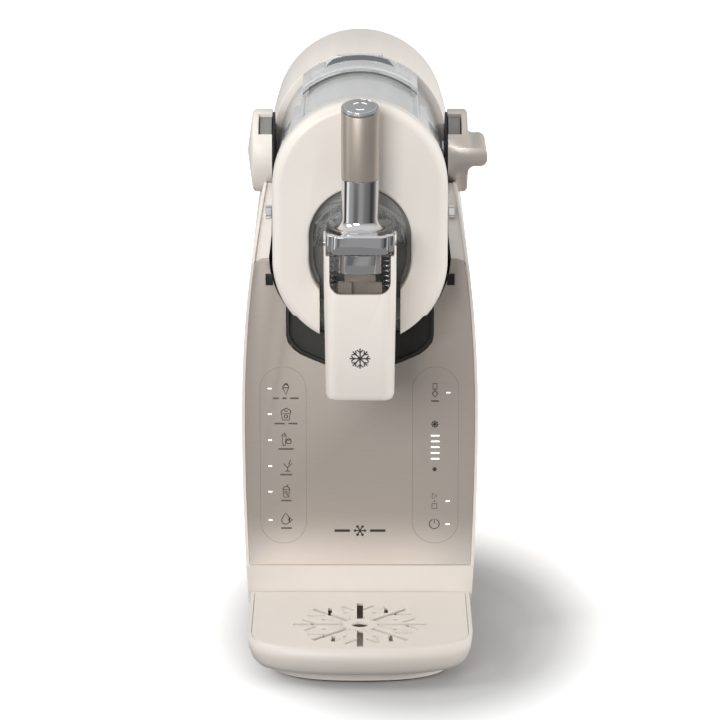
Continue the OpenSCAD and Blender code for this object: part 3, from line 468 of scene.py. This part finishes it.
CAP_LOW, CAP_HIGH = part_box("handle_cap")
CAP_SLOPE = math.radians(14)
CAP_R = (CAP_HIGH.x - CAP_LOW.x) / 2 / MM


# The slanted top starts this far in from the cap's rear edge, and the beads on it are sunk by this much
CAP_EDGE, CAP_SINK = 1.2, 0.1


def on_cap(radius, bearing):
    """A place on the slanted top of the cap, by its distance in mm and its angle from the middle."""
    x, y = radius * math.cos(bearing), radius * math.sin(bearing)
    drop = (CAP_R - CAP_EDGE - y) * math.tan(CAP_SLOPE) + CAP_SINK
    return ((CAP_LOW.x + CAP_HIGH.x) / 2 + x * MM, (CAP_LOW.y + CAP_HIGH.y) / 2 + y * MM,
            CAP_HIGH.z - drop * MM)


RIM_R = CAP_R - 1.9
bead("cap_rim", [([on_cap(RIM_R, 2 * math.pi * i / 64) for i in range(64)], True)],
     0.8, 3, CHROME, "handle")

MARK_R = 6.2
# Angles in degrees at which each lit mark starts and stops
CAP_MARKS = {"cap_mark_rear_left": (102, 146), "cap_mark_rear_right": (34, 78), "cap_mark_front": (240, 300)}
for name, (start, stop) in CAP_MARKS.items():
    points = [on_cap(MARK_R, math.radians(start + (stop - start) * i / 8)) for i in range(9)]
    bead(name, [(points, False)], 0.7, 3, CAP_LIGHT, "handle")


# ---------------------------------------------------------------- vessel

# Outer radius of the gasket round the vessel's mouth, and the heights of the two centres it is bent round
GASKET_R = 65.2
UPPER_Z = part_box("vessel_gasket")[1].z / MM - GASKET_R
LOWER_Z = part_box("vessel_gasket")[0].z / MM + GASKET_R


def curved_plate(name, r, thick, corners, material, body, n=16):
    """A plate bent round the vessel's top; corners are (half width, y) from front to back, in mm."""
    verts, faces = [], []
    for radius in (r, r + thick):
        for half, y in corners:
            for i in range(n + 1):
                a = math.asin(half / radius) * (2 * i / n - 1)
                verts.append((radius * math.sin(a) * MM, y * MM, (UPPER_Z + radius * math.cos(a)) * MM))
    row, layer = n + 1, len(corners) * (n + 1)
    for j in range(len(corners) - 1):
        for i in range(n):
            k = j * row + i
            faces.append((k, k + row, k + row + 1, k + 1))
            faces.append((layer + k, layer + k + 1, layer + k + row + 1, layer + k + row))
    for k in range(n):
        faces.append((k, k + 1, layer + k + 1, layer + k))
        last = (len(corners) - 1) * row + k
        faces.append((last + 1, last, layer + last, layer + last + 1))
    for j in range(len(corners) - 1):
        left, right = j * row, j * row + n
        faces.append((left + row, left, layer + left, layer + left + row))
        faces.append((right, right + row, layer + right + row, layer + right))
    o = mesh_piece(name, verts, faces, material, body, smooth=True)
    edges = o.modifiers.new("edges", "BEVEL")
    edges.width = min(0.4, thick / 2.5) * MM
    edges.segments = 2
    edges.harden_normals = True
    return o


# The floor of the lid's grip pocket, and a pale strip along its thick front lip that is a painted highlight
POCKET_R, POCKET_THICK = 71, 0.5
POCKET_CORNERS = [(28.4, 50.6), (26, 62), (23, 75.4)]
curved_plate("lid_pocket", POCKET_R, POCKET_THICK, POCKET_CORNERS, POCKET, "lid")
# pale strip along the lid's front lip: painted highlight
LIP_R, LIP_THICK = 72, 0.5
LIP_CORNERS = [(45.6, 15.4), (45.6, 22.5)]
curved_plate("lid_lip_highlight", LIP_R, LIP_THICK, LIP_CORNERS, RAIL, "lid")

# Two ribs along the vessel's shoulders, at this half width and radius, from front to back
RAIL_X, RAIL_R, RAIL_ENDS = 45.4, 67.3, (-84, 14)
for side, name in ((-1, "rail_left"), (1, "rail_right")):
    top = (UPPER_Z + math.sqrt(RAIL_R ** 2 - RAIL_X ** 2)) * MM
    bead(name, [([(side * RAIL_X * MM, y * MM, top) for y in RAIL_ENDS], False)],
         0.9, 3, RAIL, "vessel_unit")

# A dark sheet behind the lower half of the window: painted shade for the dim inside
SHADE_R, SHADE_Y, SHADE_THICK, SHADE_TOP = 45, -88.7, 0.5, 335.5


def painted_window_shade():
    rise = math.degrees(math.asin((SHADE_TOP - LOWER_Z) / SHADE_R))
    outline = circle(0, LOWER_Z, SHADE_R, 180 - rise, 360 + rise, 48)
    verts = [(x * MM, y * MM, z * MM) for y in (SHADE_Y, SHADE_Y + SHADE_THICK) for x, z in outline]
    n = len(outline)
    faces = [tuple(range(n)), tuple(reversed(range(n, 2 * n)))]
    faces += [((i + 1) % n, i, n + i, n + (i + 1) % n) for i in range(n)]
    mesh_piece("painted_shade_sheet", verts, faces, PAINTED_SHADE, "vessel_unit")


painted_window_shade()


# ---------------------------------------------------------------- room, light and camera

def area(name, place, target, size, power):
    light = bpy.data.lights.new(name, "AREA")
    light.shape = "RECTANGLE"
    light.size, light.size_y = size
    light.energy = power
    o = bpy.data.objects.new(name, light)
    o.location = place
    o.rotation_euler = (Vector(target) - Vector(place)).to_track_quat("-Z", "Y").to_euler()
    bpy.context.scene.collection.objects.link(o)
    return o


def staged(name, verts, faces, material):
    mesh = bpy.data.meshes.new(name)
    mesh.from_pydata(verts, [], faces)
    mesh.materials.append(material)
    o = bpy.data.objects.new(name, mesh)
    bpy.context.scene.collection.objects.link(o)
    return o


# size and centre, in metres, of the oval shadow painted on the floor
SHADOW_SIZE, SHADOW_PLACE = (0.105, 0.165), (0.045, -0.03)


def floor_material():
    """Matt white paper that glows faintly, with a soft oval shadow painted close round the machine: there its
    colour darkens and its glow fades.
    """
    s = Surface("floor", "#bdbdbd", 0.8)
    s.bsdf.inputs["Specular IOR Level"].default_value = 0.1
    s.bsdf.inputs["Emission Color"].default_value = (1, 1, 1, 1)
    oval = s.nodes.new("ShaderNodeMapping")
    oval.vector_type = "TEXTURE"
    oval.inputs["Location"].default_value = (*SHADOW_PLACE, 0)
    oval.inputs["Scale"].default_value = (*SHADOW_SIZE, 1)
    s.links.new(s.place, oval.inputs["Vector"])
    distance = s.nodes.new("ShaderNodeVectorMath")
    distance.operation = "LENGTH"
    s.links.new(oval.outputs["Vector"], distance.inputs[0])
    # painted shadow: inside the oval the paper turns grey and its glow fades
    s.vary_colour(distance.outputs["Value"], "#f6f6f6", 0.9, 1.75)
    s.links.new(s.ramp(distance.outputs["Value"], 0.0, 0.8, 1.1, 2.3), s.bsdf.inputs["Emission Strength"])
    return s.mat


FLOOR = 14.0
paper = staged("floor", [(-FLOOR, -FLOOR, 0), (FLOOR, -FLOOR, 0), (FLOOR, FLOOR, 0), (-FLOOR, FLOOR, 0)],
               [(0, 1, 2, 3)], floor_material())
# bright metal sees the dim room below it, not the lit paper
paper.visible_diffuse = paper.visible_glossy = False

# Brightness of the studio's cards by bearing from the front, in degrees; + is to the right
CARDS = [(-180, 0.5), (-145, 0.6), (-122, 0.6), (-108, 0.04), (-96, 0.06), (-90, 0.95), (-78, 0.95),
         (-70, 0.4), (-50, 0.34), (-36, 0.16), (-18, 0.16), (-6, 0.34), (8, 0.34), (28, 0.2), (56, 0.14),
         (66, 0.05), (88, 0.08), (104, 0.3), (122, 0.7), (142, 0.7), (180, 0.5)]


def card_material():
    """Light and dark cards that stand round the set for bright metal to reflect."""
    mat = bpy.data.materials.new("cards")
    mat.use_nodes = True
    nodes, links = mat.node_tree.nodes, mat.node_tree.links
    nodes.clear()
    place = nodes.new("ShaderNodeTexCoord")
    split = nodes.new("ShaderNodeSeparateXYZ")
    links.new(place.outputs["Object"], split.inputs["Vector"])
    back = nodes.new("ShaderNodeMath")
    back.operation = "MULTIPLY"
    back.inputs[1].default_value = -1
    links.new(split.outputs["Y"], back.inputs[0])
    bearing = nodes.new("ShaderNodeMath")
    bearing.operation = "ARCTAN2"
    links.new(split.outputs["X"], bearing.inputs[0])
    links.new(back.outputs["Value"], bearing.inputs[1])
    ramp = nodes.new("ShaderNodeMapRange")
    ramp.inputs["From Min"].default_value = -math.pi
    ramp.inputs["From Max"].default_value = math.pi
    links.new(bearing.outputs["Value"], ramp.inputs["Value"])
    shade = nodes.new("ShaderNodeValToRGB")
    stops = shade.color_ramp.elements
    while len(stops) < len(CARDS):
        stops.new(0.5)
    for stop, (angle, value) in zip(stops, CARDS):
        stop.position = (angle + 180) / 360
        stop.color = (value, value, value, 1)
    links.new(ramp.outputs["Result"], shade.inputs["Fac"])
    glow = nodes.new("ShaderNodeEmission")
    links.new(shade.outputs["Color"], glow.inputs["Color"])
    out = nodes.new("ShaderNodeOutputMaterial")
    links.new(glow.outputs["Emission"], out.inputs["Surface"])
    return mat


def card_ring(radius, height, centre_y, sides=96):
    turns = [2 * math.pi * i / sides for i in range(sides)]
    ring = [(radius * math.sin(a), -radius * math.cos(a)) for a in turns]
    verts = [(x, y, z) for z in (0.002, height) for x, y in ring]
    faces = [(i, (i + 1) % sides, sides + (i + 1) % sides, sides + i) for i in range(sides)]
    o = staged("cards", verts, faces, card_material())
    o.location.y = centre_y
    # the cards are for reflections alone
    o.visible_camera = o.visible_diffuse = o.visible_shadow = o.visible_transmission = False


CARD_R, CARD_HEIGHT, CARD_Y = 1.1, 0.62, -0.127
card_ring(CARD_R, CARD_HEIGHT, CARD_Y)


def sky():
    """A dim room with a bright ceiling."""
    world = bpy.data.worlds.new("studio")
    bpy.context.scene.world = world
    world.use_nodes = True
    nodes, links = world.node_tree.nodes, world.node_tree.links
    place = nodes.new("ShaderNodeTexCoord")
    split = nodes.new("ShaderNodeSeparateXYZ")
    links.new(place.outputs["Generated"], split.inputs["Vector"])
    ramp = nodes.new("ShaderNodeMapRange")
    ramp.interpolation_type = "SMOOTHSTEP"
    ramp.inputs["From Min"].default_value = 0.0
    ramp.inputs["From Max"].default_value = 0.8
    ramp.inputs["To Min"].default_value = 0.26
    ramp.inputs["To Max"].default_value = 0.72
    links.new(split.outputs["Z"], ramp.inputs["Value"])
    back = nodes["Background"]
    back.inputs["Color"].default_value = (1, 1, 1, 1)
    links.new(ramp.outputs["Result"], back.inputs["Strength"])


sky()
area("key", (-1.2, -3.0, 1.3), (0, -0.1, 0.3), (1.8, 1.4), 58)
area("side", (-2.1, -0.7, 1.8), (0, 0, 0.25), (1.0, 1.0), 16)
# lifts the right-hand sides without a glint in the metal
area("right", (2.4, -0.1, 0.42), (0, 0, 0.34), (1.2, 0.5), 34).visible_glossy = False

DISTANCE, PITCH = 2.967, math.radians(15.1)
TARGET = Vector((0, -0.127, 0.2536))
camera = bpy.data.objects.new("camera", bpy.data.cameras.new("camera"))
camera.data.sensor_width = 36
camera.data.lens = 190
camera.data.clip_end = 50
camera.location = TARGET + DISTANCE * Vector((0, -math.cos(PITCH), math.sin(PITCH)))
camera.rotation_euler = (math.pi / 2 - PITCH, 0, 0)
bpy.context.scene.collection.objects.link(camera)
bpy.context.scene.camera = camera
bpy.context.scene.view_settings.view_transform = "Standard"
